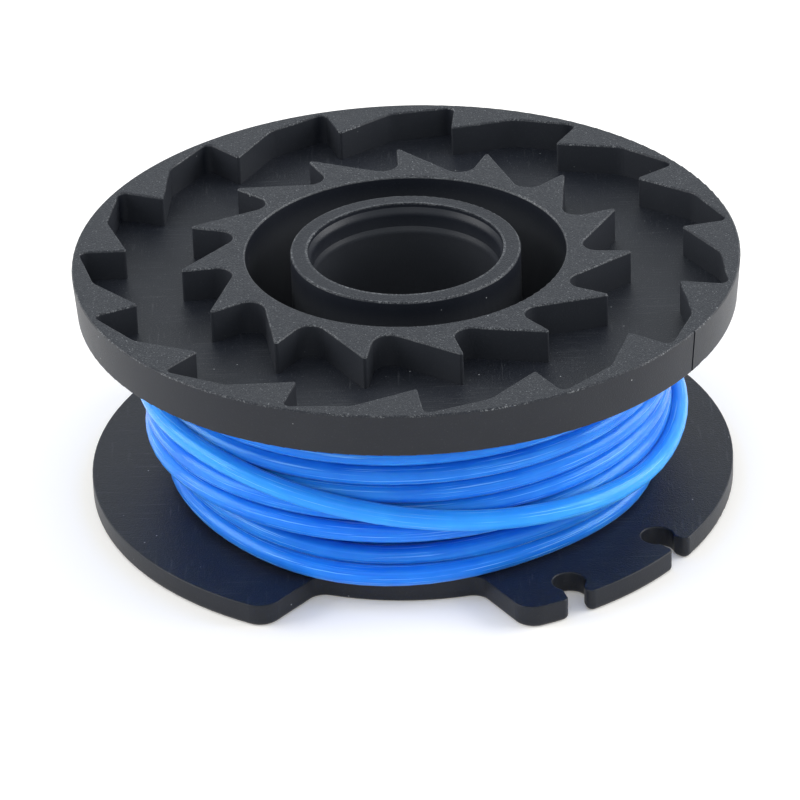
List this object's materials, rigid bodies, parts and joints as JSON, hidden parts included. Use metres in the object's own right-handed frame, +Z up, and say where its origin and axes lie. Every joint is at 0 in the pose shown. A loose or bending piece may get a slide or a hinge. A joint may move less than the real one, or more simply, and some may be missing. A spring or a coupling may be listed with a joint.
{
  "type": "trimmer line spool",
  "caption": "Moulded spool with nylon line wound between its flanges, ratchet teeth in the upper flange and a stepped hub bore, for a line trimmer's cutting head.",
  "frame": {"origin": "on the spool's axis at the underside of the lower flange", "axes": "+Z up along the spool's axis, from the lower flange to the toothed flange; the grip cut-out faces -Y"},
  "size_m": [0.0656, 0.0656, 0.0257],
  "materials": {
    "spool_plastic": "fine matte mould texture",
    "line_nylon": "smooth drawn nylon"
  },
  "bodies": {
    "root": {"spool": "spool_plastic", "trimmer_line": "line_nylon"}
  },
  "joints": []
}
